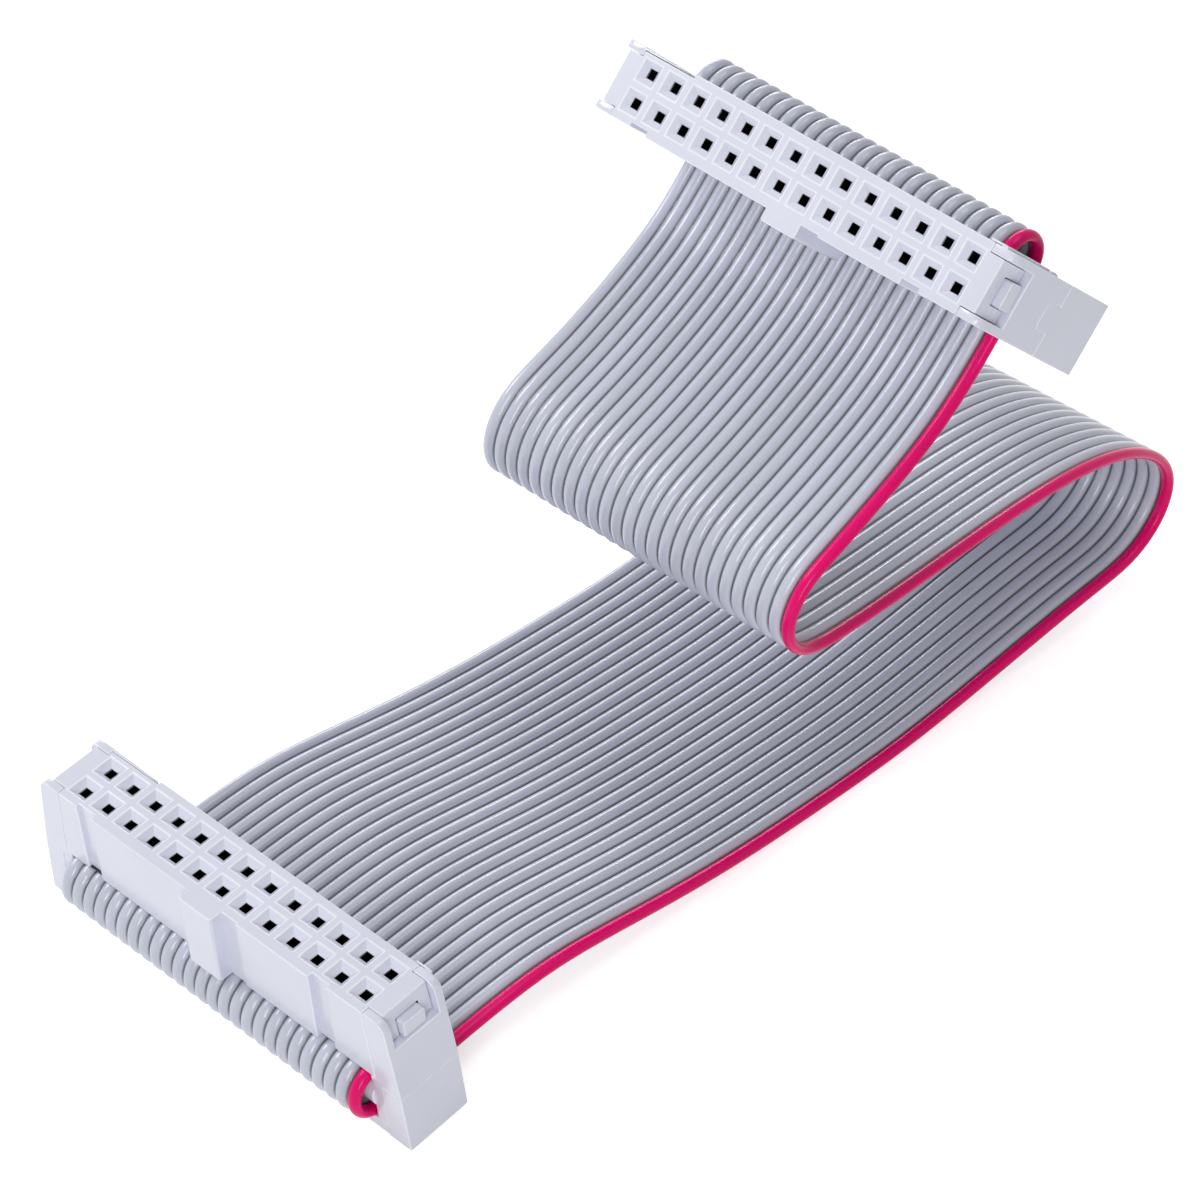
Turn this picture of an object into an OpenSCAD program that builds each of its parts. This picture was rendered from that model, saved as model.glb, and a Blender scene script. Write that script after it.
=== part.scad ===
// Flat ribbon cable with a crimped female socket at each end. The ribbon leaves
// the lower socket at the back, lies on the floor, folds over on the right, runs
// back, folds again in front and climbs into the upper socket, which stands on it.
// Millimetres. X runs along the sockets, Y from the viewer to the back, Z up.

/* [Ribbon] */
// Number of wires bonded side by side, the last one red
wire_count = 26; // [20:1:26]
// Distance from one wire to the next, half the distance of the contacts
wire_pitch = 1.27; // [1.25:0.005:1.29]
// Diameter of one insulated wire
wire_d = 0.95; // [0.9:0.01:1]
// Thickness of the web between two wires
web_t = 0.28; // [0.2:0.01:0.3]
// Diameter of the bare metal core of one wire
core_d = 0.38; // [0.3:0.01:0.5]
// How far the cut cores stand out of the ribbon's end
core_out = 0.2; // [0.1:0.05:0.4]
// Distance of the lower loop from the round nose of its bar
lower_slack = 0.6; // [0.4:0.05:0.9]
// Distance of the upper loop from the round nose of its bar
upper_slack = 0.95; // [0.4:0.05:1]

/* [Socket body] */
// Contact columns of the lower socket
lower_columns = 13; // [13:1:14]
// Contact columns of the upper socket
upper_columns = 14; // [14:1:15]
// Height of the housing from its grooved underside to the mating face
housing_h = 7.2; // [7:0.1:8]
// Width of the housing across the two rows
body_w = 5.96; // [5.8:0.02:6.2]
// Housing that stands past the last contact at each end of the mating face
end_wall = 1.26; // [1.26:0.02:1.4]
// How much further each end of the housing stands out at its foot
end_draft = 0.5; // [0.3:0.05:0.5]
// How far the raised panels stand out of the key side
panel_out = 0.16; // [0.1:0.02:0.2]
// Depth of the upright slots in the key side
slot_depth = 0.33; // [0.2:0.01:0.4]
// Width of an upright slot
slot_w = 1.7; // [1.4:0.1:2]
// Distance of the left slot from the left end
left_slot = 2.1; // [1.8:0.1:2.4]
// Distance of the right slot from the right end
right_slot = 3.7; // [3.5:0.1:4]
// Length of the step at the left end of the back
step_w = 5.2; // [4.8:0.1:5.6]
// Depth of that step
step_depth = 0.33; // [0.25:0.01:0.36]
// Width of the polarising key
key_w = 3.5; // [3:0.1:4]
// How far the key stands out of the housing
key_out = 1.17; // [0.9:0.01:1.3]
// Radius of the key's upright edges
key_round = 0.25; // [0.1:0.05:0.4]
// Place of the key on the upper socket, right of its middle
upper_key_x = 0.7; // [0:0.1:1]
// How far the outer walls stop above the grooves
wall_lift = 0.18; // [0.18:0.02:0.4]
// How far the housing's ends reach into the windows at the mating face
lip_w = 1.38; // [1.3:0.02:1.5]
// How much further they reach at the sill
lip_draft = 0.4; // [0.2:0.05:0.5]

/* [Contact openings] */
// Width of the square pin hole
hole_w = 0.81; // [0.75:0.01:0.9]
// Width of the funnel at the mating face
funnel_w = 1.9; // [1.7:0.02:1.96]
// Depth of the funnel
funnel_depth = 0.49; // [0.4:0.01:0.6]
// Plastic between the mating face and the contact chamber
roof_t = 0.75; // [0.7:0.05:1]
// Width of a contact chamber across the rows
chamber_w = 1.6; // [1.4:0.05:1.7]

/* [Contacts] */
// Sheet thickness of the contacts
sheet_t = 0.22; // [0.15:0.01:0.25]
// Width of the two leaves that grip a pin
leaf_w = 0.9; // [0.7:0.05:1]
// Distance of the leaves' tips from the roof of the chamber
leaf_play = 0.15; // [0.1:0.05:0.3]
// Length of the tips, from the pinch up
tip_h = 1.1; // [0.9:0.05:1.3]
// Gap between the two leaves where they pinch
pinch = 0.46; // [0.4:0.02:0.6]
// Width of the fork that presses on a wire
fork_w = 0.8; // [0.7:0.02:0.85]
// Slot of the fork
fork_slot = 0.2; // [0.15:0.01:0.25]
// Height of the fork under its base plate
fork_h = 2.2; // [2:0.1:2.4]

/* [Cable clamp] */
// Thickness of the clamp bar inside the ribbon's bend
bar_t = 3.75; // [3.5:0.05:4]
// Distance from the ribbon's middle plane to the ridges that grip it
grip = 0.3; // [0.28:0.01:0.32]
// Play between the ribbon's bend and the round nose of the bar
nose_play = 0.1; // [0.1:0.01:0.15]
// Thickness of an arm at the mating face
arm_top_w = 2.12; // [2:0.02:2.2]
// Thickness of an arm at the seam
arm_seam_w = 3.09; // [3:0.01:3.2]
// Radius of the outer top corner of the arms
arm_round = 1; // [0.8:0.1:1.2]
// Height of the window sill under the mating face
sill_down = 2.85; // [2.8:0.05:3]
// Width of the window between the two prongs of an arm
window_w = 4.5; // [4.4:0.02:4.6]
// Thickness of the rib that holds the housing's back at the right arm
rib_t = 0.22; // [0.2:0.01:0.3]
// How far that rib reaches past the housing's end
rib_reach = 0.43; // [0.3:0.01:0.6]
// Thickness of the long rib's tip in the step at the left arm
rib_tip = 0.12; // [0.1:0.01:0.2]

/* [Strain relief] */
// Thickness of the base bar under the ribbon
base_t = 1.1; // [1:0.05:1.3]
// Height of the end blocks, up to the seam
block_h = 5.66; // [5.6:0.02:5.8]
// Width of the socket at its foot, past the housing
foot_w = 3.45; // [3.2:0.05:3.6]
// Width of the hooked tongue
tongue_w = 2.2; // [2:0.05:2.4]
// Thickness of the hooked tongue
tongue_t = 0.95; // [0.8:0.05:1]
// How far the hook stands out over the sill
hook_out = 1.13; // [1:0.01:1.15]
// Height of the hook
hook_h = 1.5; // [1.3:0.05:1.6]
// Radius of the hook's corners
hook_round = 0.25; // [0.1:0.05:0.4]
// Width of the tab at the seam of the upper socket
tab_w = 2.3; // [2:0.1:2.4]
// Height of that tab
tab_h = 1.45; // [1.2:0.05:1.6]
// Radius of the tab's corners
tab_round = 0.4; // [0.2:0.05:0.6]
// Play between pieces that slide past each other
play = 0.1; // [0.05:0.01:0.1]

/* [Placement] */
// Lean of the lower socket towards the viewer
lower_lean = 8.7; // [8:0.1:9]
// Lean of the upper socket towards the viewer
upper_lean = 51; // [50.5:0.1:51.5]
// Turn of the upper socket about the upright
upper_turn = -2.4; // [-4:0.1:0]
// Straight stretch of ribbon where it leaves a socket
lead = 4.5; // [4:0.1:5]

/* [Hidden] */
$fn = 48;
eps = 0.01;
// how far a cut runs past the solid that it cuts
margin = 1;

white = [0.86, 0.87, 0.92];
tin = [0.78, 0.74, 0.66];
copper = [0.80, 0.50, 0.33];
grey = [0.68, 0.70, 0.76];
red = [0.85, 0.08, 0.30];

// middle of each socket's underside
lower_at = [-3.7, -43.3, 0.45];
upper_at = [2.5, 17.1, 46.6];
// the ribbon uses the first wires of the wider upper socket
upper_ribbon_x = -wire_pitch;

pin_pitch = 2 * wire_pitch;
row_y = pin_pitch / 2;
side_y = body_w / 2;
crest = wire_d / 2;
low_z = base_t + grip;
bar_z = low_z + grip;
high_z = bar_z + bar_t + grip;
land_z = high_z + grip;
mate_z = land_z + housing_h;
wall_z = land_z + wall_lift;
sill_z = mate_z - sill_down;
roof_z = mate_z - roof_t;
hook_z = sill_z + play;
hook_top = hook_z + hook_h;
slide_y = tongue_w / 2 + play / 2;
bend_r = (high_z - low_z) / 2;
bend_z = (high_z + low_z) / 2;
nose_r = bend_r - crest - nose_play;
bend_y = side_y - play - nose_r + 0.3;
fork_z = high_z + crest;
plate_z = fork_z + fork_h;
// the contact's base reaches from the plain side of a leaf to the outer edge of the fork
base_near = 0.55;
base_far = wire_pitch / 2 + fork_w / 2 + 0.02;
// the ribbon's cut end lies just inside the exit side
cut_y = side_y - 0.38;
exit_y = side_y + 0.2;
land_y = side_y - 0.38;

function half_span(columns) = (columns - 1) * pin_pitch / 2;
function end_x(columns) = half_span(columns) + end_wall;
function wire_x(i, wires) = (i - (wires - 1) / 2) * wire_pitch;

// Ribbon: control points of its free middle line, each [x, y, z, yaw, rise], where
// yaw and rise turn the line across the ribbon out of the X direction
route = [
    [-3.7, -28.5, 3.8, 0, 0],
    [-3.7, -22, 3.1, 0, 0],
    [-3.7, -14, 1.8, 0, 0],
    [-3.7, -5, 0.8, 0, 0],
    [-3.7, 5, 0.5, 0, 0],
    [-3.7, 15, 0.4, 0.5, 0],
    [-3.7, 25, 1.5, 1, 0],
    [-3.7, 34.5, 2.7, 1.5, 0],
    [-3.7, 39.6, 3.2, 1.5, 0],
    [-3.7, 43.6, 3.5, 1.5, 0],
    [-3.7, 46.2, 4.3, 1.5, 0],
    [-3.7, 48.4, 6.1, 1.5, 0],
    [-3.6, 49.3, 8.7, 1.5, 0],
    [-3.5, 48.8, 11.3, 1.5, 0],
    [-3.4, 47.1, 13.6, 1.5, 0],
    [-3.3, 44.6, 15.6, 1.5, 0],
    [-3.1, 40.8, 17.7, 1.5, 0],
    [-2.7, 35, 19.5, 1, 0.5],
    [-2.3, 27.5, 20.6, 0, 0.5],
    [-1.8, 19, 21.1, 0, 0.5],
    [-1.3, 9.5, 21.4, -0.5, 0.5],
    [-0.8, 2, 22, -0.5, 0.5],
    [-0.5, -2.9, 22.6, -0.5, 0.5],
    [-0.4, -5.2, 24, -0.5, 0.5],
    [-0.3, -6.4, 26.2, -0.5, 0.5],
    [-0.1, -6.3, 28.6, -0.5, 0],
    [0, -5.1, 30.7, -1, -0.5],
    [0.3, -3.1, 32.3, -2, -1],
    [0.6, 0.4, 34.2, -3, -1],
    [0.9, 4.9, 37, -3, -1],
    [1.1, 8.1, 39.3, -3, -1],
];
bend_steps = 6;

// Turns a direction out of a socket's own frame, then a point
function turned(v, lean, turn) =
    let (a = [v.x, v.y * cos(lean) - v.z * sin(lean), v.y * sin(lean) + v.z * cos(lean)])
    [a.x * cos(turn) - a.y * sin(turn), a.x * sin(turn) + a.y * cos(turn), a.z];
function unit(v) = v / norm(v);
function spline(a, b, c) = (a + 4 * b + c) / 6;

// A ring is [middle point, direction across, normal]. These are the rings inside a
// socket, from the cut end over the bar, round its nose and out at the bottom.
// way is 1 where the ribbon leaves at the back and -1 where it leaves in front.
function socket_ring(y, z, angle, way) = [[0, way * y, z], [1, 0, 0], [0, -way * sin(angle), cos(angle)]];
function socket_rings(way, slack) = concat(
    [socket_ring(cut_y, high_z, 180, way)],
    [for (i = [0 : bend_steps])
        let (a = 90 + 180 * i / bend_steps)
        socket_ring(-bend_y - slack + bend_r * cos(a), bend_z + bend_r * sin(a), a + 90, way)]);
function reversed(list) = [for (i = [len(list) - 1 : -1 : 0]) list[i]];
function placed(ring, at, lean, turn, shift) = [
    at + turned(ring[0] + [shift, 0, 0], lean, turn),
    turned(ring[1], lean, turn),
    turned(ring[2], lean, turn)];

lower_rings = [for (r = socket_rings(1, lower_slack)) placed(r, lower_at, lower_lean, 0, 0)];
upper_rings = reversed([for (r = socket_rings(-1, upper_slack))
    placed(r, upper_at, upper_lean, upper_turn, upper_ribbon_x)]);

lower_exit = lower_at + turned([0, exit_y, low_z], lower_lean, 0);
upper_exit = upper_at + turned([upper_ribbon_x, -exit_y, low_z], upper_lean, upper_turn);
lower_out = turned([0, lead, 0], lower_lean, 0);
upper_in = turned([0, lead, 0], upper_lean, upper_turn);
upper_across = turned([1, 0, 0], upper_lean, upper_turn);

// control points with the two straight leads, then the rings of the free stretch
points = concat(
    [lower_exit - lower_out, lower_exit, lower_exit + lower_out],
    [for (p = route) [p[0], p[1], p[2]]],
    [upper_exit - upper_in, upper_exit, upper_exit + upper_in]);
across = concat(
    [[1, 0, 0], [1, 0, 0], [1, 0, 0]],
    [for (p = route) [cos(p[4]) * cos(p[3]), cos(p[4]) * sin(p[3]), sin(p[4])]],
    [upper_across, upper_across, upper_across]);
free_rings = [for (i = [1 : len(points) - 2])
    let (w = unit(spline(across[i - 1], across[i], across[i + 1])),
        along = points[i + 1] - points[i - 1])
    [spline(points[i - 1], points[i], points[i + 1]), w, unit(cross(w, along))]];
rings = concat(lower_rings, free_rings, upper_rings);

// Sections, each point [place across, height]. A section starts at the ribbon's edge, and
// its point i lies over or under its last but i, so that caps are strips of quads.
grey_wires = wire_count - 1;
first_x = wire_x(0, wire_count);
top_line = [for (i = [0 : grey_wires - 1]) each [
    [first_x + i * wire_pitch, crest],
    [first_x + (i + 0.5) * wire_pitch, web_t / 2]]];
grey_section = concat(
    [[first_x - crest, 0]],
    top_line,
    [for (p = reversed(top_line)) [p[0], -p[1]]]);
red_x = wire_x(grey_wires, wire_count);
red_side = [
    [red_x + crest * 0.8, crest * 0.6],
    [red_x + crest * 0.3, crest * 0.95],
    [red_x - crest * 0.3, crest * 0.95],
    [red_x - wire_pitch / 2, web_t / 2]];
red_section = concat(
    [[red_x + crest, 0]],
    [for (p = red_side) [p[0], -p[1]]],
    reversed(red_side));

// Sweeps a section along the rings as one closed skin
module sweep(section) {
    n = len(section);
    m = len(rings);
    skin = [for (r = rings, p = section) r[0] + p[0] * r[1] + p[1] * r[2]];
    sides = [for (j = [0 : m - 2], i = [0 : n - 1])
        let (a = j * n + i, b = j * n + (i + 1) % n) each [[a, b + n, b], [a, a + n, b + n]]];
    front = concat([[0, 1, n - 1]], [for (i = [1 : (n - 3) / 2]) [i, i + 1, n - 1 - i, n - i]]);
    back = [for (f = front) [for (i = reversed(f)) (m - 1) * n + i]];
    polyhedron(points = skin, faces = concat(front, sides, back), convexity = 10);
}

module ribbon_grey_wires() {
    color(grey) sweep(grey_section);
}

module ribbon_red_wire() {
    color(red) sweep(red_section);
}

// Puts a socket's own solids in their place
module place_lower() {
    translate(lower_at) rotate([lower_lean, 0, 0]) children();
}

module place_upper() {
    translate(upper_at) rotate([upper_lean, 0, upper_turn]) children();
}

// A box from one corner to the other
module block(from, to) {
    translate(from) cube(to - from);
}

// Extrudes an outline drawn in Y and Z from x0 to x1
module along_x(x0, x1) {
    translate([x0, 0, 0]) rotate([90, 0, 90]) linear_extrude(x1 - x0) children();
}

// Extrudes an outline drawn in X and Z from y0 to y1
module along_y(y0, y1) {
    translate([0, y1, 0]) rotate([90, 0, 0]) linear_extrude(y1 - y0) children();
}

// A square from one corner to the other with round corners
module rounded(from, to, r) {
    translate(from + [r, 0]) square(to - from - [2 * r, 0]);
    translate(from + [0, r]) square(to - from - [0, 2 * r]);
    for (x = [from.x + r, to.x - r], y = [from.y + r, to.y - r]) translate([x, y]) circle(r = r);
}

// Round grooves for the wires, across the socket
module grooves(columns, z) {
    wires = 2 * columns;
    for (i = [0 : wires - 1])
        translate([wire_x(i, wires), 0, z])
            rotate([90, 0, 0]) cylinder(d = wire_d, h = 2 * body_w, center = true);
}

// Funnel in the mating face: a trapezoid in both directions
module funnel() {
    outline = [[-hole_w / 2, -funnel_depth], [hole_w / 2, -funnel_depth],
        [funnel_w / 2, 0], [funnel_w / 2, eps], [-funnel_w / 2, eps], [-funnel_w / 2, 0]];
    intersection() {
        along_x(-funnel_w, funnel_w) polygon(outline);
        along_y(-funnel_w, funnel_w) polygon(outline);
    }
}

// Opening for one contact: funnel, square hole and chamber, open at the bottom.
// side is 1 where the fork stands to the right and -1 where it stands to the left.
module opening(side) {
    translate([0, 0, mate_z]) funnel();
    block([-hole_w / 2, -hole_w / 2, roof_z - eps], [hole_w / 2, hole_w / 2, mate_z - funnel_depth + eps]);
    scale([side, 1, 1]) block([-base_near, -chamber_w / 2, land_z - eps], [base_far, chamber_w / 2, roof_z]);
}

// Contact: two leaves that pinch a pin, a base plate that fills the chamber, and a fork
module contact(side) {
    leaf_top = roof_z - leaf_play;
    pinch_z = leaf_top - tip_h;
    foot_y = chamber_w / 2;
    foot_z = plate_z + sheet_t;
    leaf = [[foot_y, plate_z], [foot_y, foot_z + 0.8], [pinch / 2 + sheet_t, pinch_z],
        [foot_y - 0.2, leaf_top], [foot_y - 0.2 - sheet_t, leaf_top], [pinch / 2, pinch_z],
        [foot_y - sheet_t, foot_z + 0.8], [foot_y - sheet_t, plate_z]];
    slot_x = fork_slot / 2;
    tine = [[slot_x, fork_h], [slot_x, 0.35], [slot_x + 0.1, 0], [fork_w / 2, 0], [fork_w / 2, fork_h]];
    scale([side, 1, 1]) {
        for (turn = [1, -1])
            along_x(-leaf_w / 2, leaf_w / 2) scale([turn, 1]) polygon(leaf);
        block([-base_near, -chamber_w / 2, plate_z], [base_far, chamber_w / 2, foot_z]);
        translate([wire_pitch / 2, 0, fork_z]) along_y(-sheet_t / 2, sheet_t / 2) {
            for (turn = [1, -1]) scale([turn, 1]) polygon(tine);
            translate([-fork_w / 2, fork_h / 2 + 0.3]) square([fork_w, fork_h / 2 - 0.3]);
        }
    }
}

module contacts(columns, row) {
    for (i = [0 : columns - 1])
        translate([i * pin_pitch - half_span(columns), row * row_y, 0]) contact(row);
}

// Outline of the housing in X and Z, its ends leaning out towards the foot
module housing_outline(x, grow) {
    polygon([[-x - end_draft - grow, wall_z - grow], [x + end_draft + grow, wall_z - grow],
        [x + grow, mate_z], [x + grow, mate_z + grow], [-x - grow, mate_z + grow], [-x - grow, mate_z]]);
}

// Housing with raised panels, slots and a key in front, and ends that reach into the windows
module housing(columns, key_x) {
    x = end_x(columns);
    left_x = -x + left_slot;
    right_x = x - right_slot;
    key_side = key_x + key_w / 2;
    panels = [[left_x + slot_w / 2, key_x], [key_side + slot_w, right_x - slot_w / 2]];
    difference() {
        union() {
            along_y(-side_y, side_y) housing_outline(x, 0);
            block([-x, -land_y, land_z], [x, land_y, wall_z + eps]);
            for (p = panels) block([p[0], -side_y - panel_out, wall_z], [p[1], -side_y + eps, mate_z]);
            translate([0, 0, wall_z]) linear_extrude(mate_z - wall_z)
                rounded([key_x - key_w / 2, -side_y - key_out], [key_side, 0], key_round);
            for (turn = [1, -1]) scale([turn, 1, 1])
                along_y(-window_w / 2 + play / 2, window_w / 2 - play / 2)
                    polygon([[x - eps, hook_z], [x + lip_w + lip_draft, hook_z], [x + lip_w, mate_z],
                        [x - eps, mate_z]]);
        }
        for (s = [left_x, right_x - slot_w])
            block([s, -side_y - margin, land_z - margin], [s + slot_w, -side_y + slot_depth, mate_z + margin]);
        block([-x - margin, side_y - step_depth, land_z - margin], [-x + step_w, side_y + margin, mate_z + margin]);
        // slides for the hooked tongues
        for (turn = [1, -1]) scale([turn, 1, 1])
            block([x + play, -slide_y, land_z - margin], [x + foot_w, slide_y, hook_top + play]);
        grooves(columns, high_z);
        for (i = [0 : columns - 1], row = [1, -1])
            translate([i * pin_pitch - half_span(columns), row * row_y, 0]) opening(row);
    }
}

// Outline of an arm in X and Z, from the housing's end outward, with a round top corner
module arm_outline(x) {
    top_x = x + arm_top_w;
    lean = atan((arm_seam_w - arm_top_w) / (mate_z - block_h));
    mid_z = mate_z - arm_round;
    mid_x = top_x - (arm_round - arm_round * sin(lean)) / cos(lean);
    difference() {
        polygon([[x, block_h], [x + arm_seam_w, block_h], [top_x, mate_z], [x, mate_z]]);
        difference() {
            polygon([[mid_x, mid_z], [mid_x + arm_round * cos(lean), mid_z + arm_round * sin(lean)],
                [top_x + eps, mate_z + eps], [mid_x, mate_z + eps]]);
            translate([mid_x, mid_z]) circle(r = arm_round);
        }
    }
}

// Tab at the seam of an arm's outer face, its upper corners round
module seam_tab(x, x0) {
    intersection() {
        along_x(x0, x + foot_w)
            rounded([-tab_w / 2, block_h - tab_w / 2], [tab_w / 2, block_h + tab_h], tab_round);
        along_y(-side_y, side_y) arm_outline(x);
        block([x, -side_y, block_h], [x + foot_w, side_y, mate_z]);
    }
}

// Ribs of the arms that hold the housing's back: a short one outside its right end and a
// long one that thins out in the step at its left end
module back_ribs(x) {
    near_y = side_y + play / 2;
    floor_y = side_y - step_depth + play / 2;
    translate([0, 0, wall_z]) linear_extrude(mate_z - wall_z) {
        polygon([[x + end_draft + play, side_y - play], [x + arm_top_w - arm_round, side_y - play],
            [x + arm_top_w - arm_round, side_y + rib_t], [x - rib_reach, side_y + rib_t],
            [x - rib_reach, near_y], [x + end_draft + play, near_y]]);
        polygon([[-x - end_draft - 2 * play, floor_y], [-x + step_w - 2 * play, floor_y],
            [-x + step_w - 2 * play, floor_y + rib_tip], [-x - end_draft - 2 * play, side_y]]);
    }
}

// Cable clamp: a grooved bar inside the ribbon's bend, two columns at each end and the
// arms that hold the housing between them
module cover(columns, way, tab) {
    x = end_x(columns);
    inner_x = x + play;
    outer_x = inner_x + play + tongue_t;
    difference() {
        union() {
            // bar with its round nose at the bend
            scale([1, way, 1]) along_x(-inner_x, inner_x) {
                translate([-bend_y, bar_z]) square([bend_y + side_y - play / 2, bar_t]);
                translate([-bend_y, bend_z]) circle(r = nose_r);
            }
            for (turn = [1, -1], side = [1, -1]) scale([turn, side, 1])
                block([inner_x - eps, slide_y, base_t], [outer_x, side_y - play / 2, block_h + eps]);
            for (turn = [1, -1]) scale([turn, 1, 1]) along_y(-side_y, side_y) arm_outline(x);
        }
        grooves(columns, low_z);
        grooves(columns, high_z);
        along_y(-side_y - margin, side_y + margin) housing_outline(x, play / 2);
        for (turn = [1, -1]) scale([turn, 1, 1]) {
            // slide for the hooked tongue, open towards the housing
            block([x - eps, -slide_y, 0], [outer_x + play, slide_y, mate_z + margin]);
            // window above the sill
            block([x - margin, -window_w / 2, sill_z], [x + foot_w, window_w / 2, mate_z + margin]);
            if (tab) seam_tab(x, outer_x + 3 * play);
        }
    }
    back_ribs(x);
}

// Strain relief: a grooved base bar, end blocks up to the seam and the hooked tongues
module strain_relief(columns, tab) {
    x = end_x(columns);
    tongue_x = x + 2 * play;
    block_x = tongue_x + tongue_t;
    difference() {
        union() {
            block([-block_x - eps, -side_y + play / 2, 0], [block_x + eps, side_y - play / 2, base_t]);
            for (turn = [1, -1]) scale([turn, 1, 1]) {
                along_y(-side_y, side_y)
                    polygon([[block_x, 0], [x + foot_w, 0], [x + arm_seam_w, block_h], [block_x, block_h]]);
                block([tongue_x, -tongue_w / 2, 0], [block_x + eps, tongue_w / 2, hook_top]);
                along_x(block_x, block_x + hook_out)
                    rounded([-tongue_w / 2, hook_z], [tongue_w / 2, hook_top], hook_round);
                if (tab) seam_tab(x, block_x + 3 * play);
            }
        }
        grooves(columns, low_z);
    }
}

// Bare ends of the cores, where the ribbon is cut at the exit side
module core_ends(way, shift) {
    for (i = [0 : wire_count - 1])
        translate([wire_x(i, wire_count) + shift, way * (cut_y + core_out / 2), high_z])
            rotate([90, 0, 0]) cylinder(d = core_d, h = core_out, center = true, $fn = 16);
}

module lower_strain_relief() {
    color(white) place_lower() strain_relief(lower_columns, false);
}

module lower_cover() {
    color(white) place_lower() cover(lower_columns, 1, false);
}

module lower_housing() {
    color(white) place_lower() housing(lower_columns, 0);
}

module lower_contacts_key_row() {
    color(tin) place_lower() contacts(lower_columns, -1);
}

module lower_contacts_back_row() {
    color(tin) place_lower() contacts(lower_columns, 1);
}

module lower_core_ends() {
    color(copper) place_lower() core_ends(1, 0);
}

module upper_strain_relief() {
    color(white) place_upper() strain_relief(upper_columns, true);
}

module upper_cover() {
    color(white) place_upper() cover(upper_columns, -1, true);
}

module upper_housing() {
    color(white) place_upper() housing(upper_columns, upper_key_x);
}

module upper_contacts_key_row() {
    color(tin) place_upper() contacts(upper_columns, -1);
}

module upper_contacts_back_row() {
    color(tin) place_upper() contacts(upper_columns, 1);
}

module upper_core_ends() {
    color(copper) place_upper() core_ends(-1, upper_ribbon_x);
}

lower_strain_relief();
lower_cover();
lower_housing();
lower_contacts_key_row();
lower_contacts_back_row();
lower_core_ends();
upper_strain_relief();
upper_cover();
upper_housing();
upper_contacts_key_row();
upper_contacts_back_row();
upper_core_ends();
ribbon_grey_wires();
ribbon_red_wire();
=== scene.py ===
"""Flat ribbon cable with a crimped socket at each end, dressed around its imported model."""

import math

import bmesh
import bpy
from mathutils import Euler, Matrix, Vector


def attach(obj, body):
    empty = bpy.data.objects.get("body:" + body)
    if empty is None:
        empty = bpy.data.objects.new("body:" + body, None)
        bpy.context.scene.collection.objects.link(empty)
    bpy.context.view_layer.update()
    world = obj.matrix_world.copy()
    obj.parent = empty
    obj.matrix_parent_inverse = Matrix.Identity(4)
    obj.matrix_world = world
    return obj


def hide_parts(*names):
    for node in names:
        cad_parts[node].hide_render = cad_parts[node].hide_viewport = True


bl_info = {
    "name": "Ribbon Cable",
    "version": (1, 0, 0),
    "blender": (4, 5, 0),
    "location": "3D View > Sidebar > Ribbon Cable",
    "description": "Builds the bonded wires, moulded sockets and contacts of a flat ribbon cable",
    "category": "Object",
}

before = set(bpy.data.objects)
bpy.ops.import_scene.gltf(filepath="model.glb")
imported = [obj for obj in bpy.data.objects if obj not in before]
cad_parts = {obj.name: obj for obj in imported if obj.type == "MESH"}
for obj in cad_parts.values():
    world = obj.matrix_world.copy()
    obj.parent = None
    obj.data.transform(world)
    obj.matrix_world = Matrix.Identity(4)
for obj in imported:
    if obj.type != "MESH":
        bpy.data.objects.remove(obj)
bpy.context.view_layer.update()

MM = 0.001

# Sizes of the solids that the ribbon follows, in metres
PITCH = 1.27 * MM
PIN_PITCH = 2 * PITCH
LOW_LEVEL = 1.4 * MM
HIGH_LEVEL = 5.75 * MM
LOWER_BEND_Y = 2.18 * MM
UPPER_BEND_Y = 2.53 * MM
CUT_Y = 2.6 * MM
EXIT_Y = 3.18 * MM
LEAD = 4.5 * MM
CORE_OUT = 0.2 * MM
CHAMBER_ACROSS = 1.62 * MM
CHAMBER_ALONG = 2.36 * MM

# Angles between faces that count as flat and as an edge, and the largest face of a rounded corner
LEVEL = math.radians(1)
SHARP = math.radians(25)
ROUND_AREA = 2 * MM * MM

# Points closer than this are one point, and the share of a narrow face that a rounding may take
SAME_SPOT = 0.002 * MM
EDGE_ROOM = 0.4

# A point of the section no higher than this many half webs is on the web
WEB_SLACK = 1.01

# Scales of the patterns in the finishes, and the depths of their bumps in metres
FLOW_SCALE = 90
GRAIN_SCALE = 5200
GRAIN_DEPTH = 0.02 * MM
SHADE_NOISE_SCALE = 1500
STREAK_STRETCH = (260, 9, 1)
WAVE_SCALE = 260
WAVE_DEPTH = 0.04 * MM
MARK_SCALE = 900

# Lowest and highest roughness of each finish, and the share of light the plated contacts give back at a
# glancing angle, kept near nil as painted shade in the pin holes
PLASTIC_ROUGH = (0.12, 0.20)
VINYL_ROUGH = (0.12, 0.22)
COPPER_ROUGH = (0.28, 0.43)
TIN_ROUGH = (0.45, 0.60)
TIN_SHADE_GLANCE = 0.02
PLASTIC_IOR = 1.5
VINYL_IOR = 1.52

# Places of the painted edge highlight and of the painted shade in the holes in a moulded piece's list
# of materials
EDGE_HIGHLIGHT_INDEX = 1
HOLE_SHADE_INDEX = 2

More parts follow.
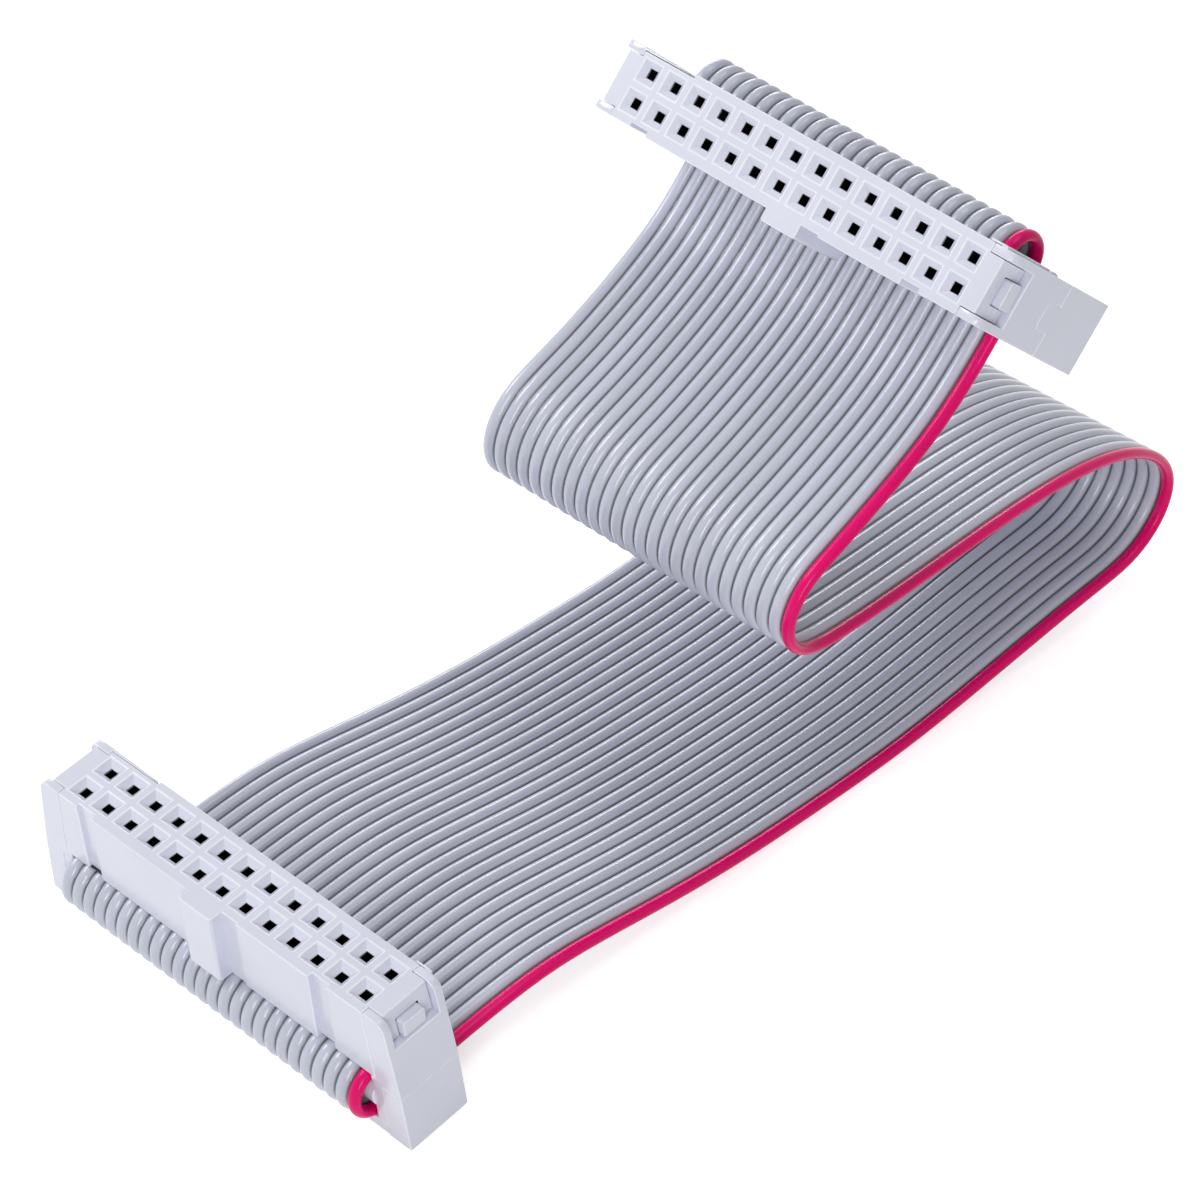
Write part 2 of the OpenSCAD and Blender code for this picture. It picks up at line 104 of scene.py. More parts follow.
# Place, lean and turn of each socket, and the way the ribbon leaves it
LOWER_AT = Vector((-3.7, -43.3, 0.45)) * MM
UPPER_AT = Vector((2.5, 17.1, 46.6)) * MM
LOWER_LEAN = 8.7
UPPER_LEAN = 51
UPPER_TURN = -2.4
LOWER_PLACE = Matrix.Translation(LOWER_AT) @ Euler(
    (math.radians(LOWER_LEAN), 0, 0)).to_matrix().to_4x4()
UPPER_PLACE = Matrix.Translation(UPPER_AT) @ Euler(
    (math.radians(UPPER_LEAN), 0, math.radians(UPPER_TURN))).to_matrix().to_4x4()
LOWER_WAY = 1
UPPER_WAY = -1
UPPER_SHIFT = -PITCH
LOWER_COLUMNS = 13
UPPER_COLUMNS = 14

# Control points of the ribbon's free middle line in millimetres: x, y, z, yaw, rise
ROUTE = (
    (-3.7, -28.5, 3.8, 0, 0),
    (-3.7, -22, 3.1, 0, 0),
    (-3.7, -14, 1.8, 0, 0),
    (-3.7, -5, 0.8, 0, 0),
    (-3.7, 5, 0.5, 0, 0),
    (-3.7, 15, 0.4, 0.5, 0),
    (-3.7, 25, 1.5, 1, 0),
    (-3.7, 34.5, 2.7, 1.5, 0),
    (-3.7, 39.6, 3.2, 1.5, 0),
    (-3.7, 43.6, 3.5, 1.5, 0),
    (-3.7, 46.2, 4.3, 1.5, 0),
    (-3.7, 48.4, 6.1, 1.5, 0),
    (-3.6, 49.3, 8.7, 1.5, 0),
    (-3.5, 48.8, 11.3, 1.5, 0),
    (-3.4, 47.1, 13.6, 1.5, 0),
    (-3.3, 44.6, 15.6, 1.5, 0),
    (-3.1, 40.8, 17.7, 1.5, 0),
    (-2.7, 35, 19.5, 1, 0.5),
    (-2.3, 27.5, 20.6, 0, 0.5),
    (-1.8, 19, 21.1, 0, 0.5),
    (-1.3, 9.5, 21.4, -0.5, 0.5),
    (-0.8, 2, 22, -0.5, 0.5),
    (-0.5, -2.9, 22.6, -0.5, 0.5),
    (-0.4, -5.2, 24, -0.5, 0.5),
    (-0.3, -6.4, 26.2, -0.5, 0.5),
    (-0.1, -6.3, 28.6, -0.5, 0),
    (0, -5.1, 30.7, -1, -0.5),
    (0.3, -3.1, 32.3, -2, -1),
    (0.6, 0.4, 34.2, -3, -1),
    (0.9, 4.9, 37, -3, -1),
    (1.1, 8.1, 39.3, -3, -1),
)

CAMERA_AT = Vector((159.08, -192.91, 215.4)) * MM
CAMERA_TURN = (51.443, -2.684, 43.185)
CAMERA_LENS = 120

SENSOR_WIDTH = 36
CAMERA_NAME = "camera"

# Lamps: name, place and size in metres. All of them point at one spot
LAMPS = (
    ("key", (-0.42, -0.20, 0.37), (0.22, 0.22)),
    ("fill", (0.30, -0.43, 0.24), (0.2, 0.3)),
    ("top", (0.06, 0.09, 0.60), (0.3, 0.3)),
    ("rim", (-0.50, 0.42, 0.24), (0.4, 0.14)),
)
LAMP_TARGET = (0, 0, 0.02)
HALF_FLOOR = 3.0
FLOOR_NEAR = 0.2
FLOOR_FAR = 0.8

PLASTIC_NODES = ("strain_relief", "cover", "housing")


class RibbonSettings(bpy.types.PropertyGroup):
    """Sizes and colours of the bonded wires."""

    wires: bpy.props.IntProperty(
        name="Wires", description="Wires bonded side by side, the last one red", default=26)
    diameter: bpy.props.FloatProperty(
        name="Wire diameter", description="Diameter of one insulated wire",
        default=0.95 * MM, unit="LENGTH", precision=5)
    crown_width: bpy.props.FloatProperty(
        name="Crown width", description="Width of one wire with its share of the bonding skin",
        default=1.14 * MM, unit="LENGTH", precision=5)
    web: bpy.props.FloatProperty(
        name="Web", description="Thickness of the web between two wires",
        default=0.2 * MM, unit="LENGTH", precision=5)
    # Painted shade: the thin webs between the wires take this share of the colour, standing in for the
    # shade in the valleys
    painted_web_shade: bpy.props.FloatProperty(
        name="Web shade", description="Share of the wire's colour left on the thin web", default=0.25)
    arc_points: bpy.props.IntProperty(
        name="Arc points", description="Points on the top or the bottom of one wire", default=9)
    steps: bpy.props.IntProperty(
        name="Steps", description="Rings between two control points of the route", default=4)
    bend_steps: bpy.props.IntProperty(
        name="Bend steps", description="Rings round the bend in a socket", default=18)
    grey: bpy.props.FloatVectorProperty(
        name="Grey", description="Colour of the plain wires", subtype="COLOR",
        size=3, default=(0.57, 0.59, 0.695))
    red: bpy.props.FloatVectorProperty(
        name="Red", description="Colour of the edge wire", subtype="COLOR",
        size=3, default=(0.84, 0.002, 0.16))
    grey_gloss: bpy.props.FloatProperty(
        name="Grey gloss", description="Strength of the plain wires' gloss", default=0.5)
    red_gloss: bpy.props.FloatProperty(
        name="Red gloss", description="Strength of the edge wire's gloss", default=0.12)
    edge_points: bpy.props.IntProperty(
        name="Edge points", description="Steps round the free side of an edge wire", default=4)


class SocketSettings(bpy.types.PropertyGroup):
    """Edges and finish of the moulded sockets and their metal, with a painted highlight on the edges
    and painted shade in the pin holes and on the contacts.
    """

    edge: bpy.props.FloatProperty(
        name="Edge radius", description="Small rounding of the cover's and the strain relief's edges",
        default=0.08 * MM, unit="LENGTH", precision=5)
    fine_edge: bpy.props.FloatProperty(
        name="Fine edge radius", description="Small rounding of the housing's edges",
        default=0.09 * MM, unit="LENGTH", precision=5)
    white: bpy.props.FloatVectorProperty(
        name="White", description="Colour of the moulded plastic", subtype="COLOR",
        size=3, default=(0.745, 0.762, 0.875))
    # Painted highlight: a lighter colour on the rounded edges, standing in for the light they catch
    edge_highlight_white: bpy.props.FloatVectorProperty(
        name="Edge white", description="Colour of the polished rounded edges", subtype="COLOR",
        size=3, default=(0.87, 0.885, 0.965))
    # Painted shade: near-black colour on the walls of the pin holes and chambers
    painted_hole_shade: bpy.props.FloatVectorProperty(
        name="Hole wall", description="Colour of the unlit walls of the pin holes", subtype="COLOR",
        size=3, default=(0.006, 0.006, 0.008))
    # Painted shade: the plated contacts are near black, far darker than the real metal, so that the pin
    # holes read as deep shade
    shade_dark_tin: bpy.props.FloatVectorProperty(
        name="Tin", description="Colour of the plated contacts", subtype="COLOR",
        size=3, default=(0.012, 0.011, 0.011))
    copper: bpy.props.FloatVectorProperty(
        name="Copper", description="Colour of the bare cores", subtype="COLOR",
        size=3, default=(0.80, 0.42, 0.22))
    strands: bpy.props.IntProperty(
        name="Strands", description="Fine wires in one core", default=7)
    core: bpy.props.FloatProperty(
        name="Core", description="Diameter of one bare core",
        default=0.38 * MM, unit="LENGTH", precision=5)


class StudioSettings(bpy.types.PropertyGroup):
    """Floor and lamps."""

    floor: bpy.props.FloatVectorProperty(
        name="Floor", description="Colour of the floor", subtype="COLOR",
        size=3, default=(0.9, 0.9, 0.9))
    key: bpy.props.FloatProperty(
        name="Key lamp", description="Power of the large lamp", default=1.3, unit="POWER")
    fill: bpy.props.FloatProperty(
        name="Fill lamp", description="Power of the lamp on the other side", default=1.2, unit="POWER")
    rim: bpy.props.FloatProperty(
        name="Rim lamp", description="Power of the low lamp behind on the left",
        default=1.0, unit="POWER")
    top: bpy.props.FloatProperty(
        name="Top lamp", description="Power of the lamp overhead", default=0.7, unit="POWER")
    sky: bpy.props.FloatProperty(
        name="Sky", description="Strength of the even light from all round", default=0.22)
    floor_lift: bpy.props.FloatProperty(
        name="Floor lift", description="Light that the camera alone sees on the floor", default=0.6)


def settings():
    """The sizes and colours of the wires, the sockets and the studio."""
    scene = bpy.context.scene
    return scene.ribbon_settings, scene.socket_settings, scene.studio_settings


def new_material(name):
    """A node material, its node tree and its main shader."""
    material = bpy.data.materials.new(name)
    material.use_nodes = True
    tree = material.node_tree
    return material, tree, tree.nodes["Principled BSDF"]


def object_noise(tree, scale, detail, stretch=(1, 1, 1)):
    """Noise on Object coordinates, stretched along an axis."""
    place = tree.nodes.new("ShaderNodeTexCoord")
    mapping = tree.nodes.new("ShaderNodeMapping")
    mapping.inputs["Scale"].default_value = stretch
    noise = tree.nodes.new("ShaderNodeTexNoise")
    noise.inputs["Scale"].default_value = scale
    noise.inputs["Detail"].default_value = detail
    tree.links.new(place.outputs["Object"], mapping.inputs["Vector"])
    tree.links.new(mapping.outputs["Vector"], noise.inputs["Vector"])
    return noise


def tinted(tree, factor, low, high):
    """A colour ramp between two colours."""
    ramp = tree.nodes.new("ShaderNodeValToRGB")
    ramp.color_ramp.elements[0].position = 0.3
    ramp.color_ramp.elements[0].color = (*low, 1)
    ramp.color_ramp.elements[1].position = 0.7
    ramp.color_ramp.elements[1].color = (*high, 1)
    tree.links.new(factor, ramp.inputs["Fac"])
    return ramp.outputs["Color"]


def varied(tree, factor, low, high):
    """A number that follows a factor between two limits."""
    span = tree.nodes.new("ShaderNodeMapRange")
    span.inputs["To Min"].default_value = low
    span.inputs["To Max"].default_value = high
    tree.links.new(factor, span.inputs["Value"])
    return span.outputs["Result"]


def bumped(tree, shader, height, strength, distance):
    """Raise and lower the surface by a height, over a distance in metres."""
    bump = tree.nodes.new("ShaderNodeBump")
    bump.inputs["Strength"].default_value = strength
    bump.inputs["Distance"].default_value = distance
    tree.links.new(height, bump.inputs["Height"])
    tree.links.new(bump.outputs["Normal"], shader.inputs["Normal"])


def scaled(colour, share):
    """A darker or lighter share of a colour."""
    return tuple(c * share for c in colour)


def moulded_plastic(name, colour):
    """Glossy moulded plastic with a faint flow pattern and a very fine grain."""
    material, tree, shader = new_material(name)
    flow = object_noise(tree, FLOW_SCALE, 3, (1, 1, 2))
    grain = object_noise(tree, GRAIN_SCALE, 2)
    colours = tinted(tree, flow.outputs["Fac"], scaled(colour, 0.97), scaled(colour, 1.02))
    tree.links.new(colours, shader.inputs["Base Color"])
    tree.links.new(varied(tree, flow.outputs["Fac"], *PLASTIC_ROUGH), shader.inputs["Roughness"])
    shader.inputs["IOR"].default_value = PLASTIC_IOR
    bumped(tree, shader, grain.outputs["Fac"], 0.06, GRAIN_DEPTH)
    return material


def painted_shade_plastic(name, colour):
    """Painted shade: matt near-black plastic for walls that only stray light reaches, a little uneven.
    """
    material, tree, shader = new_material(name)
    shade_noise = object_noise(tree, SHADE_NOISE_SCALE, 2)
    colours = tinted(tree, shade_noise.outputs["Fac"], scaled(colour, 0.6), scaled(colour, 1.4))
    tree.links.new(colours, shader.inputs["Base Color"])
    shader.inputs["Roughness"].default_value = 0.7
    shader.inputs["Specular IOR Level"].default_value = 0
    return material


def soft_vinyl(name, colour, painted_web_shade, gloss):
    """Glossy vinyl drawn along the wires: faint streaks and slow waves from the drawing, and painted
    shade on the thin webs between the wires.
    """
    material, tree, shader = new_material(name)
    along = tree.nodes.new("ShaderNodeUVMap")
    along.uv_map = "wire"
    stretch = tree.nodes.new("ShaderNodeMapping")
    stretch.inputs["Scale"].default_value = STREAK_STRETCH
    streaks = tree.nodes.new("ShaderNodeTexNoise")
    streaks.inputs["Scale"].default_value = 1.0
    streaks.inputs["Detail"].default_value = 3
    tree.links.new(along.outputs["UV"], stretch.inputs["Vector"])
    tree.links.new(stretch.outputs["Vector"], streaks.inputs["Vector"])
    colours = tinted(tree, streaks.outputs["Fac"], scaled(colour, 0.94), scaled(colour, 1.05))
    # Painted shade: where the attribute is 0, on the webs, the colour is darkened to the painted web
    # shade
    crown = tree.nodes.new("ShaderNodeAttribute")
    crown.attribute_name = "crown"
    depth = tree.nodes.new("ShaderNodeMix")
    depth.data_type = "RGBA"
    depth.inputs["A"].default_value = (*scaled(colour, painted_web_shade), 1)
    tree.links.new(crown.outputs["Fac"], depth.inputs["Factor"])
    tree.links.new(colours, depth.inputs["B"])
    tree.links.new(depth.outputs["Result"], shader.inputs["Base Color"])
    tree.links.new(varied(tree, streaks.outputs["Fac"], *VINYL_ROUGH), shader.inputs["Roughness"])
    shader.inputs["IOR"].default_value = VINYL_IOR
    shader.inputs["Specular IOR Level"].default_value = gloss
    waves = object_noise(tree, WAVE_SCALE, 1)
    bumped(tree, shader, waves.outputs["Fac"], 0.12, WAVE_DEPTH)
    return material


def plated_metal(name, colour, rough, glance):
    """Satin metal with fine rolling marks, and its own share of light at a glancing angle."""
    material, tree, shader = new_material(name)
    marks = object_noise(tree, MARK_SCALE, 3, (1, 1, 8))
    colours = tinted(tree, marks.outputs["Fac"], scaled(colour, 0.85), colour)
    tree.links.new(colours, shader.inputs["Base Color"])
    tree.links.new(varied(tree, marks.outputs["Fac"], *rough), shader.inputs["Roughness"])
    shader.inputs["Metallic"].default_value = 1
    shader.inputs["Specular Tint"].default_value = (glance, glance, glance, 1)
    return material


def new_piece(name, mesh, material, nodes):
    """A finished piece on the part's one body."""
    piece = bpy.data.objects.new(name, mesh)
    bpy.context.scene.collection.objects.link(piece)
    mesh.materials.clear()
    mesh.materials.append(material)
    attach(piece, "root")
    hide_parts(*nodes)
    return piece


def spline_weights(t):
    """Weights of four neighbouring control points, and their slopes."""
    values = ((1 - t) ** 3 / 6, (3 * t ** 3 - 6 * t ** 2 + 4) / 6,
              (-3 * t ** 3 + 3 * t ** 2 + 3 * t + 1) / 6, t ** 3 / 6)
    slopes = (-(1 - t) ** 2 / 2, (3 * t ** 2 - 4 * t) / 2, (-3 * t ** 2 + 2 * t + 1) / 2, t ** 2 / 2)
    return values, slopes


def weighted(points, weights):
    """Sum of the points, each times its weight."""
    total = Vector((0, 0, 0))
    for point, weight in zip(points, weights):
        total += point * weight
    return total


def socket_rings(place, way, shift, bend_y, steps):
    """Rings [middle, across, normal] inside a socket, from the cut end round the bend."""
    radius = (HIGH_LEVEL - LOW_LEVEL) / 2
    middle = (HIGH_LEVEL + LOW_LEVEL) / 2
    spots = [(CUT_Y, HIGH_LEVEL, math.pi), (CUT_Y / 3, HIGH_LEVEL, math.pi)]
    for i in range(steps + 1):
        angle = math.pi / 2 + math.pi * i / steps
        y = -bend_y + radius * math.cos(angle)
        z = middle + radius * math.sin(angle)
        spots.append((y, z, angle + math.pi / 2))
    turn = place.to_3x3()
    rings = []
    for y, z, angle in spots:
        normal = Vector((0, -way * math.sin(angle), math.cos(angle)))
        rings.append((place @ Vector((shift, way * y, z)), turn @ Vector((1, 0, 0)), turn @ normal))
    return rings


def ribbon_rings(steps, bend_steps):
    """All rings of the ribbon, from one cut end to the other."""
    lower_turn = LOWER_PLACE.to_3x3()
    upper_turn = UPPER_PLACE.to_3x3()
    lower_exit = LOWER_PLACE @ Vector((0, EXIT_Y, LOW_LEVEL))
    upper_exit = UPPER_PLACE @ Vector((UPPER_SHIFT, -EXIT_Y, LOW_LEVEL))
    lower_lead = lower_turn @ Vector((0, LEAD, 0))
    upper_lead = upper_turn @ Vector((0, LEAD, 0))
    lower_across = lower_turn @ Vector((1, 0, 0))
    upper_across = upper_turn @ Vector((1, 0, 0))
    points = [lower_exit - lower_lead, lower_exit, lower_exit + lower_lead]
    across = [lower_across] * 3
    for x, y, z, yaw, rise in ROUTE:
        points.append(Vector((x, y, z)) * MM)
        yaw, rise = math.radians(yaw), math.radians(rise)
        level = math.cos(rise)
        across.append(Vector((level * math.cos(yaw), level * math.sin(yaw), math.sin(rise))))
    points += [upper_exit - upper_lead, upper_exit, upper_exit + upper_lead]
    across += [upper_across] * 3
    free = []
    for i in range(1, len(points) - 2):
        last = i == len(points) - 3
        for step in range(steps + (1 if last else 0)):
            values, slopes = spline_weights(step / steps)
            four = slice(i - 1, i + 3)
            wide = weighted(across[four], values).normalized()
            along = weighted(points[four], slopes)
            free.append((weighted(points[four], values), wide, wide.cross(along).normalized()))
    lower = socket_rings(LOWER_PLACE, LOWER_WAY, 0, LOWER_BEND_Y, bend_steps)
    upper = socket_rings(UPPER_PLACE, UPPER_WAY, UPPER_SHIFT, UPPER_BEND_Y, bend_steps)
    return lower + free + upper[::-1]


def wire_arc(x, diameter, width, web, points, side):
    """Points on one side of one wire, from web to web, left to right."""
    start = math.asin(web / diameter)
    arc = []
    for i in range(points):
        angle = math.pi - start - (math.pi - 2 * start) * i / (points - 1)
        arc.append((x + width / 2 * math.cos(angle), side * diameter / 2 * math.sin(angle)))
    return arc


def edge_arc(x, diameter, width, web, points, side):
    """The free half of an edge wire, from top to bottom on the left or the right."""
    start = math.asin(web / diameter)
    arc = []
    for i in range(1, points):
        angle = start - 2 * start * i / points
        arc.append((x + side * width / 2 * math.cos(angle), diameter / 2 * math.sin(angle)))
    return arc


def sweep(name, rings, section, half_web, rounded):
    """One closed skin along the rings, with a map of place across and along.

    Points of the section no higher than half_web are the thin web, apart from the rounded ones.
    """
    mesh = bpy.data.meshes.new(name)
    count = len(section)
    verts = []
    for middle, across, normal in rings:
        verts += [middle + across * u + normal * v for u, v in section]
    faces = []
    for j in range(len(rings) - 1):
        for i in range(count):
            a, b = j * count + i, j * count + (i + 1) % count
            faces.append((a, a + count, b + count, b))
    faces.append(tuple(range(count)))
    faces.append(tuple(reversed(range((len(rings) - 1) * count, len(rings) * count))))
    mesh.from_pydata(verts, [], faces)
    lengths = [0.0]
    for first, second in zip(rings, rings[1:]):
        lengths.append(lengths[-1] + (second[0] - first[0]).length)
    around = [0.0]
    for first, second in zip(section, section[1:] + section[:1]):
        around.append(around[-1] + math.hypot(second[0] - first[0], second[1] - first[1]))
    uv = mesh.uv_layers.new(name="wire")
    for face in mesh.polygons:
        wraps = len(face.vertices) == 4 and max(v % count for v in face.vertices) - min(
            v % count for v in face.vertices) > 1
        for loop in face.loop_indices:
            vertex = mesh.loops[loop].vertex_index
            i, j = vertex % count, vertex // count
            place = around[count] if wraps and i == 0 else around[i]
            uv.data[loop].uv = (place, lengths[j])
    on_web = [abs(v) <= half_web and i not in rounded for i, (_, v) in enumerate(section)]
    for face in mesh.polygons:
        face.use_smooth = len(face.vertices) == 4 and not all(on_web[v % count] for v in face.vertices)
    # Attribute that is 0 on the thin web, where the vinyl paints shade, and 1 elsewhere
    crown = mesh.attributes.new("crown", "FLOAT", "POINT")
    for index in range(len(verts)):
        crown.data[index].value = 0 if on_web[index % count] else 1
    return mesh, lengths[-1]


def wire_place(i, wires):
    """Place across the ribbon of one wire's middle."""
    return (i - (wires - 1) / 2) * PITCH


class RIBBON_OT_wires(bpy.types.Operator):
    """Sweep the grey wires and the red edge wire along the ribbon's route."""

    bl_idname = "ribbon.wires"
    bl_label = "Bonded Wires"

    def execute(self, context):
        ribbon = settings()[0]
        rings = ribbon_rings(ribbon.steps, ribbon.bend_steps)
        wire = (ribbon.diameter, ribbon.crown_width, ribbon.web)
        arc = (*wire, ribbon.arc_points)
        grey_count = ribbon.wires - 1
        top = []
        bottom = []
        for i in range(grey_count):
            top += wire_arc(wire_place(i, ribbon.wires), *arc, 1)
            bottom += wire_arc(wire_place(i, ribbon.wires), *arc, -1)
        joint = wire_place(grey_count, ribbon.wires) - PITCH / 2
        half_web = ribbon.web / 2
        left = edge_arc(wire_place(0, ribbon.wires), *wire, ribbon.edge_points, -1)
        grey_section = top + [(joint, half_web), (joint, -half_web)] + bottom[::-1] + left[::-1]
        count = len(grey_section)
        rounded = [0, *range(count - len(left) - 1, count)]
        grey_mesh, length = sweep("grey_wires", rings, grey_section, half_web * WEB_SLACK, rounded)
        red_x = wire_place(grey_count, ribbon.wires)
        over, under = wire_arc(red_x, *arc, 1), wire_arc(red_x, *arc, -1)[::-1]
        right = edge_arc(red_x, *wire, ribbon.edge_points, 1)
        red_section = [(joint, half_web)] + over + right + under + [(joint, -half_web)]
        rounded = list(range(len(over), len(over) + len(right) + 2))
        red_mesh, _ = sweep("red_edge_wire", rings, red_section, half_web * WEB_SLACK, rounded)
        grey_vinyl = soft_vinyl("grey_vinyl", ribbon.grey, ribbon.painted_web_shade, ribbon.grey_gloss)
        red_vinyl = soft_vinyl("red_vinyl", ribbon.red, ribbon.painted_web_shade, ribbon.red_gloss)
        grey = new_piece("grey_wires", grey_mesh, grey_vinyl, ["ribbon_grey_wires"])
        red = new_piece("red_edge_wire", red_mesh, red_vinyl, ["ribbon_red_wire"])
        context.scene["ribbon_length"] = length
        context.scene["ribbon_pieces"] = [grey.name, red.name]
        return {"FINISHED"}


def is_round(face):
    """Whether a face is one of the narrow ones that make up a rounded corner."""
    angles = [line.calc_face_angle() for line in face.edges if line.is_manifold]
    return face.calc_area() < ROUND_AREA and any(LEVEL < angle < SHARP for angle in angles)


def edge_share(line, edge):
    """Share of the full rounding that the narrower face beside an edge has room for."""
    width = min(face.calc_area() for face in line.link_faces) / line.calc_length()
    return min(1, EDGE_ROOM * width / edge)


def moulded_copy(node, name, material, edge_highlight, edge):
    """A copy of a moulded solid with its edges rounded, as the tool leaves them, the roundings in a
    lighter colour as a painted highlight.
    """
    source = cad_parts[node]
    mesh = source.data.copy()
    mesh.transform(source.matrix_world)
    shape = bmesh.new()
    shape.from_mesh(mesh)
    bmesh.ops.remove_doubles(shape, verts=shape.verts, dist=SAME_SPOT)
    bmesh.ops.dissolve_limit(shape, angle_limit=LEVEL, verts=shape.verts, edges=shape.edges)
    weight = shape.edges.layers.float.new("bevel_weight_edge")
    for line in shape.edges:
        if line.is_manifold and line.calc_face_angle() > SHARP:
            line.smooth = line.is_convex
            line[weight] = edge_share(line, edge) if line.is_convex else 0
    for face in shape.faces:
        face.smooth = is_round(face)
    shape.to_mesh(mesh)
    shape.free()
    piece = new_piece(name, mesh, material, [node])
    mesh.materials.append(edge_highlight)
    rounding = piece.modifiers.new("edges", "BEVEL")
    rounding.width = edge
    # The rounding faces take the lighter colour, a painted highlight along every rounded edge
    rounding.material = EDGE_HIGHLIGHT_INDEX
    rounding.segments = 2
    rounding.limit_method = "WEIGHT"
    rounding.use_clamp_overlap = False
    rounding.harden_normals = True
    return piece


def in_a_chamber(spot, columns):
    """Whether a spot, seen from its socket, is within the outline of a contact's chamber."""
    column = spot.x / PIN_PITCH + (columns - 1) / 2
    off_column = abs(column - round(column)) * PIN_PITCH
    off_row = abs(abs(spot.y) - PIN_PITCH / 2)
    return off_column < CHAMBER_ALONG / 2 and off_row < CHAMBER_ACROSS / 2


def paint_hole_shade(name, place, columns, shadow):
    """Paint shade on the walls of the pin holes and chambers, which no light reaches, with a dark
    material of their own.
    """
    mesh = bpy.data.objects[name].data
    mesh.materials.append(shadow)
    back = place.inverted()
    for face in mesh.polygons:
        if all(in_a_chamber(back @ mesh.vertices[v].co, columns) for v in face.vertices):
            # Faces wholly inside a chamber get the painted shade
            face.material_index = HOLE_SHADE_INDEX


class RIBBON_OT_sockets(bpy.types.Operator):
    """Round the edges of the moulded pieces and give them their plastic, with a painted highlight on
    the roundings and painted shade in the pin holes.
    """

    bl_idname = "ribbon.sockets"
    bl_label = "Moulded Sockets"

    def execute(self, context):
        socket = settings()[1]
        plastic = moulded_plastic("lilac_white_plastic", socket.white)
        # A lighter plastic for the roundings, as a painted highlight
        edge_highlight = moulded_plastic("polished_edge_plastic", socket.edge_highlight_white)
        shadow = painted_shade_plastic("hole_wall_plastic", socket.painted_hole_shade)
        for level in ("lower", "upper"):
            for kind in PLASTIC_NODES:
                edge = socket.fine_edge if kind == "housing" else socket.edge
                moulded_copy(f"{level}_{kind}", f"{level}_{kind}_moulding", plastic, edge_highlight, edge)
        # Painted shade in the pin holes of both housings
        paint_hole_shade("lower_housing_moulding", LOWER_PLACE, LOWER_COLUMNS, shadow)
        paint_hole_shade("upper_housing_moulding", UPPER_PLACE, UPPER_COLUMNS, shadow)
        return {"FINISHED"}


def row_tree(name, template, material):
    """Geometry nodes: copies of a template at even steps, made real and given a material."""
    tree = bpy.data.node_groups.new(name, "GeometryNodeTree")
    tree.interface.new_socket("Geometry", in_out="INPUT", socket_type="NodeSocketGeometry")
    tree.interface.new_socket("Geometry", in_out="OUTPUT", socket_type="NodeSocketGeometry")
    count = tree.interface.new_socket("Count", in_out="INPUT", socket_type="NodeSocketInt")
    step = tree.interface.new_socket("Step", in_out="INPUT", socket_type="NodeSocketFloat")
    first = tree.interface.new_socket("First", in_out="INPUT", socket_type="NodeSocketVector")
    add = tree.nodes.new
    entry = add("NodeGroupInput")
    leave = add("NodeGroupOutput")
    line = add("GeometryNodeMeshLine")
    offset = add("ShaderNodeCombineXYZ")
    model = add("GeometryNodeObjectInfo")
    model.inputs["Object"].default_value = template
    place = add("GeometryNodeInstanceOnPoints")
    real = add("GeometryNodeRealizeInstances")
    finish = add("GeometryNodeSetMaterial")
    finish.inputs["Material"].default_value = material
    link = tree.links.new
    link(entry.outputs["Step"], offset.inputs["X"])
    link(entry.outputs["Count"], line.inputs["Count"])
    link(entry.outputs["First"], line.inputs["Start Location"])
    link(offset.outputs["Vector"], line.inputs["Offset"])
    link(line.outputs["Mesh"], place.inputs["Points"])
    link(model.outputs["Geometry"], place.inputs["Instance"])
    link(place.outputs["Instances"], real.inputs["Geometry"])
    link(real.outputs["Geometry"], finish.inputs["Geometry"])
    link(finish.outputs["Geometry"], leave.inputs["Geometry"])
    return tree, {"Count": count.identifier, "Step": step.identifier, "First": first.identifier}


def row_of(name, template, material, count, step, first, place):
    """A plain mesh of copies of a template, put in its place."""
    tree, keys = row_tree(name + "_rule", template, material)
    holder = bpy.data.objects.new(name + "_holder", bpy.data.meshes.new(name + "_holder"))
    bpy.context.scene.collection.objects.link(holder)
    rule = holder.modifiers.new("row", "NODES")
    rule.node_group = tree
    rule[keys["Count"]] = count
    rule[keys["Step"]] = step
    rule[keys["First"]] = first
    bpy.context.view_layer.update()
    seen = holder.evaluated_get(bpy.context.evaluated_depsgraph_get())
    mesh = bpy.data.meshes.new_from_object(seen)
    mesh.name = name
    holder.modifiers.remove(rule)
    bpy.data.objects.remove(holder)
    mesh.transform(place)
    return mesh


def strand_bundle(socket):
    """One core: fine strands round a middle one, their cut ends level."""
    shape = bmesh.new()
    strand = socket.core / 6
    cut_end = 0.85 * strand
    places = [(0, 0)]
    for i in range(socket.strands - 1):
        angle = 2 * math.pi * i / (socket.strands - 1)
        places.append((2 * strand * math.cos(angle), 2 * strand * math.sin(angle)))
    for x, z in places:
        made = bmesh.ops.create_cone(shape, cap_ends=True, segments=10, radius1=strand,
                                     radius2=cut_end, depth=CORE_OUT)
        turn = Matrix.Translation((x, CORE_OUT / 2, z)) @ Matrix.Rotation(math.radians(-90), 4, "X")
        bmesh.ops.transform(shape, matrix=turn, verts=made["verts"])
    mesh = bpy.data.meshes.new("strand_bundle")
    shape.to_mesh(mesh)
    shape.free()
    return bpy.data.objects.new("strand_bundle", mesh)


